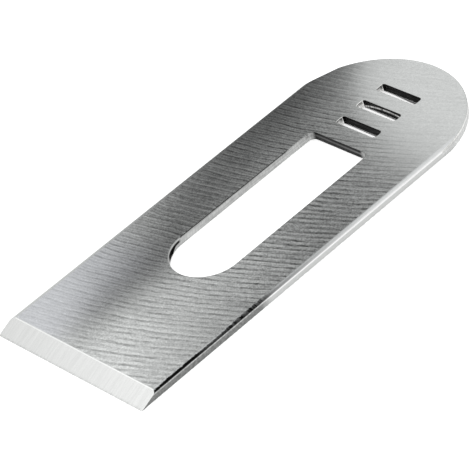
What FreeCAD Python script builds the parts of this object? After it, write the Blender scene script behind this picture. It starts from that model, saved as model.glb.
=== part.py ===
# Plane iron: the cutter of a small hand plane, punched from rolled tool steel strip and then ground
#
# Frame: millimetres, +Z up. The iron lies on its back, and the origin is on the back face, at the middle
# of its length and width. +Y points to the rounded end and -Y to the cutting edge.
#
# The features are built in the order in which the real iron is made: the strip with its rolled edges,
# the punched head and slots, and the ground bevel. In the sketches, the cutting edge is at zero.
# An iron is ground shorter at its cutting edge as it wears, so its slots keep their distance from the
# rounded end, and a change of blade_length moves them with that end.

import FreeCAD, Part
import math
import os
import Sketcher

os.makedirs("parts", exist_ok=True)
document = FreeCAD.newDocument("PlaneIron")

# Driving dimensions, in millimetres and degrees

SIZES = {
    # the finished blade
    "blade_width": 41.3,
    "blade_length": 106.0,
    "blade_thickness": 1.8,
    # the rolled edge along each long side of the strip: how far it reaches in and how far it drops
    "roll_reach": 1.0,
    "roll_drop": 0.27,
    "ridge_radius": 0.2,
    "back_radius": 0.15,
    # the ground bevel, its softened top line, and the flat left at the edge until the iron is honed
    "bevel_angle": 22.0,
    "bevel_ease": 0.8,
    "edge_land": 0.05,
    # the dressed flat on one shoulder of the rounded end
    "shoulder_rise": 2.25,
    "shoulder_angle": 19.0,
    # the cross slots, which the tongue of the depth adjuster drops into; the middle of the last one lies
    # head_margin short of the rounded end
    "head_margin": 10.95,
    "cross_length": 10.8,
    "cross_width": 2.3,
    "cross_corner": 0.6,
    "cross_pitch": 6.1,
    "cross_count": 3,
    # the long slot for the clamping screw, round towards the cutting edge and square behind, where it
    # ends cross_offset short of the middle of the first cross slot
    "cross_offset": 5.8,
    "slot_width": 15.87,
    "slot_length": 46.3,
    "slot_corner": 1.3,
    # the narrow slope left when the burr is taken off the rims of the slots and of the head
    "rim_slope": 0.12,
    # how far each cutting profile runs past the steel
    "overrun": 3.0,
}

sheet = document.addObject("Spreadsheet::Sheet", "sizes")
for row, (name, value) in enumerate(SIZES.items(), start=1):
    sheet.set("A%d" % row, name)
    sheet.set("B%d" % row, str(value))
    sheet.setAlias("B%d" % row, name)
document.recompute()

# Places along the iron that follow from the sizes, as the sketches' dimensions state them

HEAD_CENTRE = "(sizes.blade_length - sizes.blade_width / 2)"
FIRST_CROSS = "(sizes.blade_length - sizes.head_margin - sizes.cross_pitch * (sizes.cross_count - 1))"
SLOT_END = "(" + FIRST_CROSS + " - sizes.cross_offset)"
SLOT_CENTRE = "(" + SLOT_END + " - sizes.slot_length + sizes.slot_width / 2)"

# The same sizes and places as numbers, where each sketch is first drawn

half = sheet.blade_width / 2
thickness = sheet.blade_thickness
over = sheet.overrun
head_centre = sheet.evalExpression(HEAD_CENTRE)
far_end = sheet.blade_length + over

body = document.addObject("PartDesign::Body", "plane_iron")
body.Label = "plane_iron"
body.setExpression("Placement.Base.y", "-sizes.blade_length / 2")

# Sketch helpers

START, END, CENTRE = range(1, 4)
LEVEL_AXIS, UPRIGHT_AXIS = range(-1, -3, -1)
SKETCH_ORIGIN = (LEVEL_AXIS, START)


def origin_feature(role):
    """A plane or an axis of the iron's own origin."""
    return next(item for item in body.Origin.OriginFeatures if item.Role == role)


def new_sketch(name, plane_role):
    """An empty sketch on one of the iron's origin planes."""
    sketch = body.newObject("Sketcher::SketchObject", name)
    sketch.AttachmentSupport = [(origin_feature(plane_role), "")]
    sketch.MapMode = "FlatFace"
    return sketch


def line(sketch, start, end):
    """A straight edge of a profile."""
    segment = Part.LineSegment(FreeCAD.Vector(*start, 0), FreeCAD.Vector(*end, 0))
    return sketch.addGeometry(segment, False)


def arc(sketch, centre, radius, first_degrees, last_degrees):
    """A round edge of a profile, drawn anticlockwise."""
    circle = Part.Circle(FreeCAD.Vector(*centre, 0), FreeCAD.Vector(0, 0, 1), radius)
    turn = Part.ArcOfCircle(circle, math.radians(first_degrees), math.radians(last_degrees))
    return sketch.addGeometry(turn, False)


def guide_point(sketch, place):
    """A point that a profile's edge runs through, without being part of the profile."""
    return sketch.addGeometry(Part.Point(FreeCAD.Vector(*place, 0)), True)


def rule(sketch, kind, *where):
    """A relation between edges, such as tangent or level."""
    sketch.addConstraint(Sketcher.Constraint(kind, *where))


def dimension(sketch, kind, size, *where):
    """A dimension of a profile, which follows the sheet."""
    index = sketch.addConstraint(Sketcher.Constraint(kind, *where, sketch.evalExpression(size)))
    sketch.setExpression("Constraints[%d]" % index, size)


def join(sketch, edges, kind):
    """Joins each edge's end to the start of the next, round the whole profile."""
    for edge, following in zip(edges, edges[1:] + edges[:1]):
        rule(sketch, kind, edge, END, following, START)


def pocket(name, sketch, both_ways=False):
    """Cuts a profile right through the steel: from the back face upwards, or both ways from the middle."""
    before = body.Tip.Shape.Volume
    cut = body.newObject("PartDesign::Pocket", name)
    cut.Profile = sketch
    cut.Type = "ThroughAll"
    cut.SideType = "Symmetric" if both_ways else "One side"
    cut.Reversed = not both_ways
    document.recompute()
    if not cut.Shape.Volume < before:
        raise RuntimeError(name + " cuts nothing")
    return cut


def near(value, target):
    """Whether two lengths are the same."""
    return abs(value - target) < 1e-4


def edges_where(feature, wanted):
    """The names of a feature's edges that lie wholly where the test says."""
    names = []
    for number, edge in enumerate(feature.Shape.Edges, start=1):
        first, last = edge.ParameterRange
        if all(wanted(edge.valueAt(first + part * (last - first))) for part in (0.0, 0.3, 0.6, 1.0)):
            names.append("Edge%d" % number)
    return names


def finish_edges(kind, name, feature, size_name, size, wanted):
    """Rounds or slopes the edges of a feature that lie where the test says."""
    finished = body.newObject(kind, name)
    finished.Base = (feature, edges_where(feature, wanted))
    finished.setExpression(size_name, size)
    document.recompute()
    return finished


# Strip: the rolled section, drawn across the iron and run along its length

roll_radius = (sheet.roll_reach**2 + sheet.roll_drop**2) / (2 * sheet.roll_drop)
roll_turn = math.degrees(math.asin(sheet.roll_reach / roll_radius))
ridge_height = thickness - sheet.roll_drop
roll_start = half - sheet.roll_reach

section = new_sketch("strip_section", "XZ_Plane")
back = line(section, (-half, 0), (half, 0))
right_side = line(section, (half, 0), (half, ridge_height))
right_roll = arc(section, (roll_start, thickness - roll_radius), roll_radius, 90 - roll_turn, 90)
top = line(section, (roll_start, thickness), (-roll_start, thickness))
left_roll = arc(section, (-roll_start, thickness - roll_radius), roll_radius, 90, 90 + roll_turn)
left_side = line(section, (-half, ridge_height), (-half, 0))

rule(section, "Coincident", back, END, right_side, START)
rule(section, "Coincident", right_side, END, right_roll, START)
rule(section, "Tangent", right_roll, END, top, START)
rule(section, "Tangent", top, END, left_roll, START)
rule(section, "Coincident", left_roll, END, left_side, START)
rule(section, "Coincident", left_side, END, back, START)
rule(section, "Horizontal", back)
rule(section, "Horizontal", top)
rule(section, "Vertical", right_side)
rule(section, "Vertical", left_side)
rule(section, "Symmetric", back, START, back, END, *SKETCH_ORIGIN)
rule(section, "Equal", right_roll, left_roll)
dimension(section, "DistanceX", "sizes.blade_width", back, START, back, END)
dimension(section, "DistanceY", "sizes.blade_thickness", back, START, top, END)
dimension(section, "DistanceX", "sizes.roll_reach", right_roll, END, right_roll, START)
dimension(section, "DistanceY", "sizes.roll_drop", right_roll, START, right_roll, END)
dimension(section, "DistanceX", "sizes.roll_reach", left_roll, END, left_roll, START)

strip = body.newObject("PartDesign::Pad", "strip")
strip.Profile = section
strip.Reversed = True
strip.setExpression("Length", "sizes.blade_length")
document.recompute()

# Its rolled edges end in a narrow ridge, and the back's long edges are only just rounded

ridges = finish_edges(
    "PartDesign::Fillet",
    "ridges",
    strip,
    "Radius",
    "sizes.ridge_radius",
    lambda point: near(abs(point.x), half) and near(point.z, ridge_height),
)
back_edges = finish_edges(
    "PartDesign::Fillet",
    "back_edges",
    ridges,
    "Radius",
    "sizes.back_radius",
    lambda point: near(abs(point.x), half) and near(point.z, 0),
)

# Head: what the punch leaves of the strip's far end is half a circle, as wide as the strip

head_outline = new_sketch("head_outline", "XY_Plane")
left_ledge = line(head_outline, (-half - over, head_centre), (-half, head_centre))
dome = arc(head_outline, (0, head_centre), half, 0, 180)
right_ledge = line(head_outline, (half, head_centre), (half + over, head_centre))
right_wall = line(head_outline, (half + over, head_centre), (half + over, far_end))
far_wall = line(head_outline, (half + over, far_end), (-half - over, far_end))
left_wall = line(head_outline, (-half - over, far_end), (-half - over, head_centre))

rule(head_outline, "Coincident", left_ledge, END, dome, END)
rule(head_outline, "Coincident", dome, START, right_ledge, START)
rule(head_outline, "Coincident", right_ledge, END, right_wall, START)
rule(head_outline, "Coincident", right_wall, END, far_wall, START)
rule(head_outline, "Coincident", far_wall, END, left_wall, START)
rule(head_outline, "Coincident", left_wall, END, left_ledge, START)
rule(head_outline, "Horizontal", left_ledge)
rule(head_outline, "Horizontal", right_ledge)
rule(head_outline, "Horizontal", far_wall)
rule(head_outline, "Vertical", right_wall)
rule(head_outline, "Vertical", left_wall)
rule(head_outline, "PointOnObject", dome, CENTRE, UPRIGHT_AXIS)
rule(head_outline, "Horizontal", dome, CENTRE, dome, START)
rule(head_outline, "Horizontal", dome, CENTRE, dome, END)
dimension(head_outline, "Radius", "sizes.blade_width / 2", dome)
dimension(head_outline, "DistanceY", HEAD_CENTRE, *SKETCH_ORIGIN, dome, CENTRE)
dimension(head_outline, "DistanceX", "sizes.overrun", right_ledge, START, right_ledge, END)
dimension(head_outline, "DistanceX", "sizes.overrun", left_ledge, START, left_ledge, END)
dimension(head_outline, "DistanceY", "sizes.blade_width / 2 + sizes.overrun", right_wall, START, right_wall, END)
head = pocket("head", head_outline)

# Its upper rim loses its burr in a narrow slope, which fades out where the rolled edges drop away

wall_y = sheet.blade_length + over
slope_side = 2 * over + sheet.rim_slope

rim_outline = new_sketch("rim_outline", "YZ_Plane")
level = line(rim_outline, (wall_y - slope_side, thickness + over), (wall_y, thickness + over))
outside = line(rim_outline, (wall_y, thickness + over), (wall_y, thickness + over - slope_side))
sloped = line(rim_outline, (wall_y, thickness + over - slope_side), (wall_y - slope_side, thickness + over))
turn_axis = line(rim_outline, (head_centre, 0), (head_centre, thickness))
rim_outline.setConstruction(turn_axis, True)

join(rim_outline, [level, outside, sloped], "Coincident")
rule(rim_outline, "Horizontal", level)
rule(rim_outline, "Vertical", outside)
rule(rim_outline, "Equal", level, outside)
rule(rim_outline, "Vertical", turn_axis)
rule(rim_outline, "PointOnObject", turn_axis, START, LEVEL_AXIS)
dimension(rim_outline, "DistanceX", HEAD_CENTRE, *SKETCH_ORIGIN, turn_axis, START)
dimension(rim_outline, "DistanceY", "sizes.blade_thickness", turn_axis, START, turn_axis, END)
dimension(rim_outline, "DistanceX", "sizes.blade_width / 2 + sizes.overrun", turn_axis, END, level, END)
dimension(rim_outline, "DistanceY", "sizes.overrun", turn_axis, END, level, END)
dimension(rim_outline, "DistanceX", "2 * sizes.overrun + sizes.rim_slope", level, START, level, END)

head_rim = body.newObject("PartDesign::Groove", "head_rim")
head_rim.Profile = rim_outline
head_rim.ReferenceAxis = (rim_outline, ["Axis0"])
head_rim.Angle = 180
head_rim.Midplane = True
document.recompute()
if not head_rim.Shape.Volume < head.Shape.Volume:
    raise RuntimeError("head_rim cuts nothing")

# Shoulder: one side of the head has a short flat, dressed on by hand, that leans in towards the end

lean = math.tan(math.radians(sheet.shoulder_angle))
shoulder_y = head_centre + sheet.shoulder_rise
low_y = shoulder_y - over
high_y = shoulder_y + half
flat_bottom = (-half - over * lean, low_y)
flat_top = (-half + half * lean, high_y)

shoulder_outline = new_sketch("shoulder_outline", "XY_Plane")
flat = line(shoulder_outline, flat_bottom, flat_top)
upper_wall = line(shoulder_outline, flat_top, (-half - over, high_y))
outer_wall = line(shoulder_outline, (-half - over, high_y), (-half - over, low_y))
lower_wall = line(shoulder_outline, (-half - over, low_y), flat_bottom)
shoulder_guide = guide_point(shoulder_outline, (-half, shoulder_y))

join(shoulder_outline, [flat, upper_wall, outer_wall, lower_wall], "Coincident")
rule(shoulder_outline, "Horizontal", upper_wall)
rule(shoulder_outline, "Vertical", outer_wall)
rule(shoulder_outline, "Horizontal", lower_wall)
rule(shoulder_outline, "PointOnObject", shoulder_guide, START, flat)
dimension(shoulder_outline, "DistanceX", "sizes.blade_width / 2", shoulder_guide, START, *SKETCH_ORIGIN)
dimension(shoulder_outline, "DistanceY", HEAD_CENTRE + " + sizes.shoulder_rise", *SKETCH_ORIGIN, shoulder_guide, START)
dimension(shoulder_outline, "Angle", "(90 - sizes.shoulder_angle) * 1 deg", flat)
dimension(shoulder_outline, "DistanceX", "sizes.overrun", outer_wall, START, shoulder_guide, START)
dimension(shoulder_outline, "DistanceY", "sizes.overrun", flat, START, shoulder_guide, START)
dimension(shoulder_outline, "DistanceY", "sizes.blade_width / 2", shoulder_guide, START, flat, END)
shoulder = pocket("shoulder", shoulder_outline)

# Long slot: round towards the cutting edge, square behind with eased corners

slot_half = sheet.slot_width / 2
round_centre = sheet.evalExpression(SLOT_CENTRE)
slot_end = sheet.evalExpression(SLOT_END)
corner_x = slot_half - sheet.slot_corner
corner_y = slot_end - sheet.slot_corner

slot_outline = new_sketch("slot_outline", "XY_Plane")
round_end = arc(slot_outline, (0, round_centre), slot_half, 180, 360)
right_flank = line(slot_outline, (slot_half, round_centre), (slot_half, corner_y))
right_corner = arc(slot_outline, (corner_x, corner_y), sheet.slot_corner, 0, 90)
square_end = line(slot_outline, (corner_x, slot_end), (-corner_x, slot_end))
left_corner = arc(slot_outline, (-corner_x, corner_y), sheet.slot_corner, 90, 180)
left_flank = line(slot_outline, (-slot_half, corner_y), (-slot_half, round_centre))

join(slot_outline, [round_end, right_flank, right_corner, square_end, left_corner, left_flank], "Tangent")
rule(slot_outline, "Vertical", right_flank)
rule(slot_outline, "Vertical", left_flank)
rule(slot_outline, "Horizontal", square_end)
rule(slot_outline, "PointOnObject", round_end, CENTRE, UPRIGHT_AXIS)
rule(slot_outline, "Equal", right_corner, left_corner)
dimension(slot_outline, "Radius", "sizes.slot_width / 2", round_end)
dimension(slot_outline, "Radius", "sizes.slot_corner", right_corner)
dimension(slot_outline, "DistanceY", SLOT_CENTRE, *SKETCH_ORIGIN, round_end, CENTRE)
dimension(slot_outline, "DistanceY", SLOT_END, *SKETCH_ORIGIN, square_end, START)
long_slot = pocket("long_slot", slot_outline)

# Cross slots: the one beside the long slot is drawn, and the others repeat it towards the rounded end

cross_half = sheet.cross_length / 2
cross_y = sheet.evalExpression(FIRST_CROSS)
near_y = cross_y - sheet.cross_width / 2
far_y = cross_y + sheet.cross_width / 2
inner_x = cross_half - sheet.cross_corner
inner_near_y = near_y + sheet.cross_corner
inner_far_y = far_y - sheet.cross_corner

cross_outline = new_sketch("cross_outline", "XY_Plane")
near_wall = line(cross_outline, (-inner_x, near_y), (inner_x, near_y))
near_right = arc(cross_outline, (inner_x, inner_near_y), sheet.cross_corner, 270, 360)
right_end = line(cross_outline, (cross_half, inner_near_y), (cross_half, inner_far_y))
far_right = arc(cross_outline, (inner_x, inner_far_y), sheet.cross_corner, 0, 90)
back_wall = line(cross_outline, (inner_x, far_y), (-inner_x, far_y))
far_left = arc(cross_outline, (-inner_x, inner_far_y), sheet.cross_corner, 90, 180)
left_end = line(cross_outline, (-cross_half, inner_far_y), (-cross_half, inner_near_y))
near_left = arc(cross_outline, (-inner_x, inner_near_y), sheet.cross_corner, 180, 270)

join(
    cross_outline,
    [near_wall, near_right, right_end, far_right, back_wall, far_left, left_end, near_left],
    "Tangent",
)
rule(cross_outline, "Horizontal", near_wall)
rule(cross_outline, "Horizontal", back_wall)
rule(cross_outline, "Vertical", right_end)
rule(cross_outline, "Vertical", left_end)
for corner in (far_right, far_left, near_left):
    rule(cross_outline, "Equal", near_right, corner)
dimension(cross_outline, "Radius", "sizes.cross_corner", near_right)
dimension(cross_outline, "DistanceX", "sizes.cross_length / 2", *SKETCH_ORIGIN, right_end, START)
dimension(cross_outline, "DistanceX", "sizes.cross_length / 2", left_end, START, *SKETCH_ORIGIN)
dimension(cross_outline, "DistanceY", FIRST_CROSS + " - sizes.cross_width / 2", *SKETCH_ORIGIN, near_wall, START)
dimension(cross_outline, "DistanceY", "sizes.cross_width", near_wall, START, back_wall, END)
first_cross = pocket("first_cross", cross_outline)

cross_slots = body.newObject("PartDesign::LinearPattern", "cross_slots")
cross_slots.Originals = [first_cross]
cross_slots.Direction = (origin_feature("Y_Axis"), [""])
cross_slots.setExpression("Length", "sizes.cross_pitch * (sizes.cross_count - 1)")
cross_slots.setExpression("Occurrences", "sizes.cross_count")
body.Tip = cross_slots
document.recompute()

# Bevel: ground across the whole width, from just above the back face up to the top face, where the
# grinder's last strokes leave a softened line

slope = math.tan(math.radians(sheet.bevel_angle))
ease_turn = sheet.bevel_ease * math.sin(math.radians(sheet.bevel_angle))
ease_drop = sheet.bevel_ease * (1 - math.cos(math.radians(sheet.bevel_angle)))
ground_top = ((thickness - ease_drop - sheet.edge_land) / slope, thickness - ease_drop)
ease_y = ground_top[0] + ease_turn
wheel_z = thickness + over
ground_bottom = (-over, sheet.edge_land - over * slope)

bevel_outline = new_sketch("bevel_outline", "YZ_Plane")
ground = line(bevel_outline, ground_bottom, ground_top)
ease = arc(bevel_outline, (ease_y, thickness - sheet.bevel_ease), sheet.bevel_ease, 90, 90 + sheet.bevel_angle)
rise = line(bevel_outline, (ease_y, thickness), (ease_y, wheel_z))
ceiling = line(bevel_outline, (ease_y, wheel_z), (-over, wheel_z))
front_wall = line(bevel_outline, (-over, wheel_z), ground_bottom)
edge_guide = guide_point(bevel_outline, (0, sheet.edge_land))

rule(bevel_outline, "Tangent", ground, END, ease, END)
rule(bevel_outline, "Coincident", ease, START, rise, START)
rule(bevel_outline, "Coincident", rise, END, ceiling, START)
rule(bevel_outline, "Coincident", ceiling, END, front_wall, START)
rule(bevel_outline, "Coincident", front_wall, END, ground, START)
rule(bevel_outline, "Vertical", rise)
rule(bevel_outline, "Horizontal", ceiling)
rule(bevel_outline, "Vertical", front_wall)
rule(bevel_outline, "Vertical", ease, CENTRE, ease, START)
rule(bevel_outline, "PointOnObject", edge_guide, START, UPRIGHT_AXIS)
rule(bevel_outline, "PointOnObject", edge_guide, START, ground)
dimension(bevel_outline, "DistanceY", "sizes.edge_land", *SKETCH_ORIGIN, edge_guide, START)
dimension(bevel_outline, "DistanceY", "sizes.blade_thickness", *SKETCH_ORIGIN, ease, START)
dimension(bevel_outline, "Angle", "sizes.bevel_angle * 1 deg", ground)
dimension(bevel_outline, "Radius", "sizes.bevel_ease", ease)
dimension(bevel_outline, "DistanceX", "sizes.overrun", front_wall, START, *SKETCH_ORIGIN)
dimension(bevel_outline, "DistanceY", "sizes.overrun", rise, START, rise, END)
bevel = pocket("bevel", bevel_outline, both_ways=True)

# The upper rims of the slots lose their burr in the same way as the head's

rim_x = (slot_half + half) / 2
first_rim_y = (ease_y + slot_end - sheet.slot_length) / 2
last_rim_y = sheet.blade_length - sheet.head_margin / 2


def on_slot_rim(point):
    """Whether a point lies in the top face within the outline, where only the slots have edges."""
    return near(point.z, thickness) and abs(point.x) < rim_x and first_rim_y < point.y < last_rim_y


slot_rims = finish_edges("PartDesign::Chamfer", "slot_rims", bevel, "Size", "sizes.rim_slope", on_slot_rim)

# Nothing is written unless every feature was built

for item in document.Objects:
    if "Invalid" in item.State or "Error" in item.State:
        raise RuntimeError(item.Name + " was not built")
iron = body.Shape
if iron.isNull() or not iron.isValid() or len(iron.Solids) != 1:
    raise RuntimeError("the iron is not one sound solid")
iron.exportStep("parts/" + body.Label + ".step")
print("%s: %.1f cubic millimetres, %s" % (body.Label, iron.Volume, iron.BoundBox))
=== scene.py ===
# %% [markdown]
# # Dressing a plane iron
#
# The object is the cutter of a small hand plane: one flat piece of tool steel, 106 mm long, with a bevel
# ground on one end, a half-round head on the other, a long slot for the clamping screw and three cross
# slots for the depth adjuster. The solid model is already made, and it gives the true size of everything.
#
# A bare steel part is all surface. There is no paint to look at, so what the eye reads is how each face
# was made: ground with a coarse wheel, rolled, punched, or left dull from hardening. This lesson makes
# those faces one by one, on a mesh whose small roundings are true ones.

import math
from functools import partial

import bpy
import numpy as np
from mathutils import Matrix, Vector
from mathutils.geometry import delaunay_2d_cdt


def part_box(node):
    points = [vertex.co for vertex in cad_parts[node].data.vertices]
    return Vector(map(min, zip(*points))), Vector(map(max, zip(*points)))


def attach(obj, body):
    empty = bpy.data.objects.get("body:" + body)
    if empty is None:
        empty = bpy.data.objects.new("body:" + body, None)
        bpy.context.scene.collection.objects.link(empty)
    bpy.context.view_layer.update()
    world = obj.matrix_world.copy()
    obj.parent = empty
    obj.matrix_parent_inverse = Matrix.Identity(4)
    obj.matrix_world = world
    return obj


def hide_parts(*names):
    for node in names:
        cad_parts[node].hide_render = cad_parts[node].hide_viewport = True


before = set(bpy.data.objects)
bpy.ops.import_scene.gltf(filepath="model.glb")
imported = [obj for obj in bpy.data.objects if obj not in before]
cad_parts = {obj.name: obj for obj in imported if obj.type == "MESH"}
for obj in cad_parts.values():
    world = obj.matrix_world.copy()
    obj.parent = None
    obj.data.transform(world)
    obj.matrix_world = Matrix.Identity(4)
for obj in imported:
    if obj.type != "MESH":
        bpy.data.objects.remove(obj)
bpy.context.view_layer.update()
lowest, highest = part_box("plane_iron")
print("solid model from", tuple(round(v, 4) for v in lowest), "to", tuple(round(v, 4) for v in highest), "m")

# %% [markdown]
# ## The camera
#
# The photograph was taken through a long lens from the right and in front, looking down at the iron and
# turned a little about its own line of sight. The place and the turn below were worked out from the
# iron's straight edges, its round end and its slots. The three rows are the directions of the picture's
# right, its down and its depth, seen in the model's own axes. A long lens keeps parallel edges nearly
# parallel, and that's why the iron looks so calm in the picture.

# %% The camera
PICTURE_PIXELS = 470
FOCAL_PIXELS = 2948.6
SENSOR_MM = 36.0
CAMERA_PLACE = (0.375019, -0.273469, 0.353981)
RIGHT = (0.69330512, 0.68702748, -0.21753447)
DOWN = (0.31883502, -0.56314048, -0.76237591)
DEPTH = (-0.64627567, 0.45920152, -0.6094766)

camera_data = bpy.data.cameras.new("camera")
camera_data.sensor_width = SENSOR_MM
camera_data.lens = FOCAL_PIXELS / PICTURE_PIXELS * SENSOR_MM
camera_data.clip_start = 0.01
camera_data.clip_end = 20.0
camera = bpy.data.objects.new("camera", camera_data)
turn = Matrix((RIGHT, [-v for v in DOWN], [-v for v in DEPTH])).transposed()
camera.matrix_world = Matrix.Translation(CAMERA_PLACE) @ turn.to_4x4()
bpy.context.scene.collection.objects.link(camera)
bpy.context.scene.camera = camera
camera_distance = Vector(CAMERA_PLACE).length
print("lens %.1f mm, camera %.3f m from the middle of the iron" % (camera_data.lens, camera_distance))

# %% [markdown]
# ## Sizes of the faces
#
# A plate is two height fields over one plan: for each point of its outline's inside, a height for the top
# and a height for the bottom. The plan comes from a few sizes, in millimetres, with the cutting edge at
# the low end of Y. The overall size is read from the solid model, so the two can't drift apart.

# %% Sizes, in millimetres
MM = 0.001
HALF = highest.x / MM
EDGE_Y = lowest.y / MM
END_Y = highest.y / MM
THICK = highest.z / MM
HEAD_Y = END_Y - HALF

ROLL_REACH, ROLL_DROP = 1.0, 0.27
RIDGE_RADIUS, BACK_RADIUS, RIM_RADIUS = 0.2, 0.15, 0.12
BEVEL_ANGLE, BEVEL_EASE, EDGE_LAND = math.radians(22.0), 0.8, 0.05
SHOULDER_RISE, SHOULDER_LEAN = 2.25, math.radians(19.0)
CROSS_HALF, CROSS_WIDTH, CROSS_CORNER, CROSS_PITCH = 5.4, 2.3, 0.6, 6.1
HEAD_MARGIN, CROSS_OFFSET = 10.95, 5.8
LAST_CROSS_Y = END_Y - HEAD_MARGIN
CROSS_YS = [LAST_CROSS_Y - CROSS_PITCH * k for k in (2, 1, 0)]
SLOT_HALF, SLOT_LENGTH, SLOT_CORNER = 15.87 / 2, 46.3, 1.3
SLOT_END = CROSS_YS[0] - CROSS_OFFSET
SLOT_ROUND_Y = SLOT_END - SLOT_LENGTH + SLOT_HALF
print("head centre at Y %.2f, long slot from %.2f to %.2f" % (HEAD_Y, SLOT_END - SLOT_LENGTH, SLOT_END))

# %% [markdown]
# ## The outline and its holes
#
# Each outline is a closed line of points with a direction that points out of the steel. Moving every
# point back along that direction gives a parallel line inside the steel, and a few such lines close to
# each rim carry its rounding.

# %% Outlines
ARC_STEP, STRAIGHT_STEP, FRONT_STEP = 0.35, 1.6, 1.0
FRONT_CORNER_STEP, BACK_CORNER_STEP = 0.25, 0.12
SAME_POINT = 1e-6


def arc_points(centre, radius, first, last, step=ARC_STEP):
    """centre + radius * (cos a, sin a) for angles a from first to last, about one step of arc apart."""
    count = max(4, int(abs(last - first) * radius / step))
    a = np.linspace(first, last, count + 1)
    return np.stack([centre[0] + radius * np.cos(a), centre[1] + radius * np.sin(a)], 1)


def straight_points(start, end, step=STRAIGHT_STEP):
    """start + t * (end - start) for t from 0 to 1, about one step apart."""
    start, end = np.array(start, float), np.array(end, float)
    t = np.linspace(0, 1, max(2, int(np.linalg.norm(end - start) / step)) + 1)[:, None]
    return start + t * (end - start)


def joined(runs):
    """The runs one after the other, with the point that two runs share kept once."""
    points = np.concatenate(runs)
    keep = np.linalg.norm(points - np.roll(points, 1, 0), axis=1) > SAME_POINT
    return points[keep]


def outward(points, closed):
    """Unit normals on the right of the line's direction, mitred: the mean of the two segments' normals,
    lengthened by one over the cosine of half the turn, so that parallel lines keep their distance."""
    before = points - np.roll(points, 1, 0)
    after = np.roll(points, -1, 0) - points
    if not closed:
        before[0], after[-1] = after[0], before[-1]
    before /= np.linalg.norm(before, axis=1)[:, None]
    after /= np.linalg.norm(after, axis=1)[:, None]
    n1 = np.stack([before[:, 1], -before[:, 0]], 1)
    n2 = np.stack([after[:, 1], -after[:, 0]], 1)
    mean = n1 + n2
    return mean * 2 / (mean * mean).sum(1)[:, None]


def rounded_slot(half_x, low_y, high_y, low_corner, high_corner):
    """A slot's rim, run clockwise so that its outward side is the hole: rounded corners of two radii."""
    low_x, high_x = half_x - low_corner, half_x - high_corner
    first_y, last_y = low_y + low_corner, high_y - high_corner
    quarter = math.pi / 2
    return joined([
        arc_points((low_x, first_y), low_corner, 0, -quarter, FRONT_CORNER_STEP),
        arc_points((-low_x, first_y), low_corner, -quarter, -2 * quarter, FRONT_CORNER_STEP),
        straight_points((-half_x, first_y), (-half_x, last_y)),
        arc_points((-high_x, last_y), high_corner, 2 * quarter, quarter, BACK_CORNER_STEP),
        straight_points((-high_x, high_y), (high_x, high_y)),
        arc_points((high_x, last_y), high_corner, quarter, 0, BACK_CORNER_STEP),
        straight_points((half_x, last_y), (half_x, first_y)),
    ])


shoulder_foot = np.array([-HALF, HEAD_Y + SHOULDER_RISE])
shoulder_run = np.array([math.sin(SHOULDER_LEAN), math.cos(SHOULDER_LEAN)])
to_foot = shoulder_foot - (0, HEAD_Y)
along = to_foot @ shoulder_run
reach = math.sqrt(along**2 - to_foot @ to_foot + HALF**2)
corners = [shoulder_foot + (side * reach - along) * shoulder_run for side in (1, -1)]
corner_angles = [math.atan2(c[1] - HEAD_Y, c[0]) for c in corners]

side_and_head = joined([
    straight_points((HALF, EDGE_Y), (HALF, HEAD_Y)),
    arc_points((0, HEAD_Y), HALF, 0, corner_angles[0]),
    straight_points(corners[0], corners[1]),
    arc_points((0, HEAD_Y), HALF, corner_angles[1], math.pi),
    straight_points((-HALF, HEAD_Y), (-HALF, EDGE_Y)),
])
front = straight_points((-HALF, EDGE_Y), (HALF, EDGE_Y), FRONT_STEP)[1:-1]
holes = [rounded_slot(SLOT_HALF, SLOT_END - SLOT_LENGTH, SLOT_END, SLOT_HALF, SLOT_CORNER)]
for middle in CROSS_YS:
    low_y, high_y = middle - CROSS_WIDTH / 2, middle + CROSS_WIDTH / 2
    holes.append(rounded_slot(CROSS_HALF, low_y, high_y, CROSS_CORNER, CROSS_CORNER))
print("outline of %d points, holes of" % (len(side_and_head) + len(front)), [len(h) for h in holes])

# %% [markdown]
# ## Heights
#
# The top of the iron is the lowest of four simple surfaces, just as the real one is what four operations
# leave: the flat face, the rolled edge that drops towards each side, the bevel, and the small rounding at
# every punched rim. The bottom is flat, with the back's long edges a little rounded.

# %% Heights of the top and the bottom
ROLL_RADIUS = (ROLL_REACH**2 + ROLL_DROP**2) / (2 * ROLL_DROP)
LEAST_STEEL = 0.03


def rolled_height(x):
    """An arc that leaves the flat face level, one reach in from the side, and ends in a ridge of a smaller
    radius that turns down into the side: the lower of z = T - R + sqrt(R^2 - u^2) and the ridge's circle."""
    u = np.clip(np.abs(x) - (HALF - ROLL_REACH), 0, ROLL_REACH)
    roll = THICK - ROLL_RADIUS + np.sqrt(ROLL_RADIUS**2 - u**2)
    ridge_x = HALF - RIDGE_RADIUS
    inner = ROLL_RADIUS - RIDGE_RADIUS
    ridge_z = THICK - ROLL_RADIUS + math.sqrt(inner**2 - (ridge_x - (HALF - ROLL_REACH)) ** 2)
    v = np.clip(np.abs(x) - ridge_x, 0, RIDGE_RADIUS)
    ridge = ridge_z + np.sqrt(RIDGE_RADIUS**2 - v**2)
    touch = ridge_x + RIDGE_RADIUS * (ridge_x - (HALF - ROLL_REACH)) / inner
    return np.where(np.abs(x) > touch, ridge, roll)


def bevel_height(y):
    """A plane from the edge's land up at the bevel angle, eased into the flat face by an arc."""
    slope = math.tan(BEVEL_ANGLE)
    plane = EDGE_LAND + (y - EDGE_Y) * slope
    drop = BEVEL_EASE * (1 - math.cos(BEVEL_ANGLE))
    ease_end = (THICK - drop - EDGE_LAND) / slope + EDGE_Y + BEVEL_EASE * math.sin(BEVEL_ANGLE)
    w = np.clip(ease_end - y, 0, BEVEL_EASE * math.sin(BEVEL_ANGLE))
    eased = THICK - BEVEL_EASE + np.sqrt(BEVEL_EASE**2 - w**2)
    return np.where(plane < THICK - drop, plane, eased)


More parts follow.
